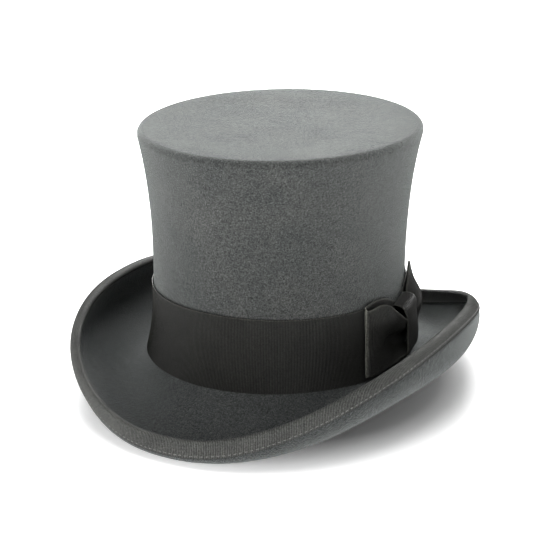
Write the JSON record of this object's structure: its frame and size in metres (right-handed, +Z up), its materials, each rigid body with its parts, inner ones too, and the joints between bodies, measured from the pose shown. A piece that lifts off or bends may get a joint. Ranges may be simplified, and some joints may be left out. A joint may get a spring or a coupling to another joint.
{
  "type": "top hat",
  "caption": "Flared felt top hat: tall oval crown, rolled ribbon-bound brim, wide ribbed band with a flat side bow, leather sweatband and satin lining.",
  "frame": {"origin": "middle of the hat's plan, on the table that it stands on with the front and back of its brim", "axes": "+Z up out of the tip; -Y is the wearer's front; +X is the wearer's left, where the bow is"},
  "size_m": [0.285, 0.3382, 0.1927],
  "materials": {
    "grey_felt": "stiffened wool felt, napped, mottled mid grey",
    "binding_ribbon": "grosgrain ribbon, mid grey",
    "band_ribbon": "grosgrain ribbon, charcoal",
    "thread": "dark sewing thread",
    "pale_thread": "light sewing thread",
    "sweatband_leather": "smooth sheepskin, semi matt",
    "reed_plastic": "round plastic reed",
    "tape_cloth": "woven cotton tape",
    "trim_ribbon": "narrow satin ribbon",
    "lining_satin": "satin lining, pale silver grey",
    "piping_satin": "satin piping",
    "label_cloth": "woven label, blank"
  },
  "bodies": {
    "root": {"crown_felt": "grey_felt", "brim_felt": "grey_felt", "headline_stitching": "thread", "brim_binding": "binding_ribbon", "binding_stitching": "thread", "hat_band": "band_ribbon", "band_tacks": "thread", "bow_front_loop": "band_ribbon", "bow_back_loop": "band_ribbon", "bow_knot": "band_ribbon", "bow_tacks": "thread", "sweatband": "sweatband_leather", "sweatband_reed": "reed_plastic", "sweatband_tape": "tape_cloth", "sweatband_stitching": "pale_thread", "sweatband_bow": "trim_ribbon", "lining_side": "lining_satin", "lining_tip": "lining_satin", "lining_piping": "piping_satin", "size_label": "label_cloth"}
  },
  "joints": []
}
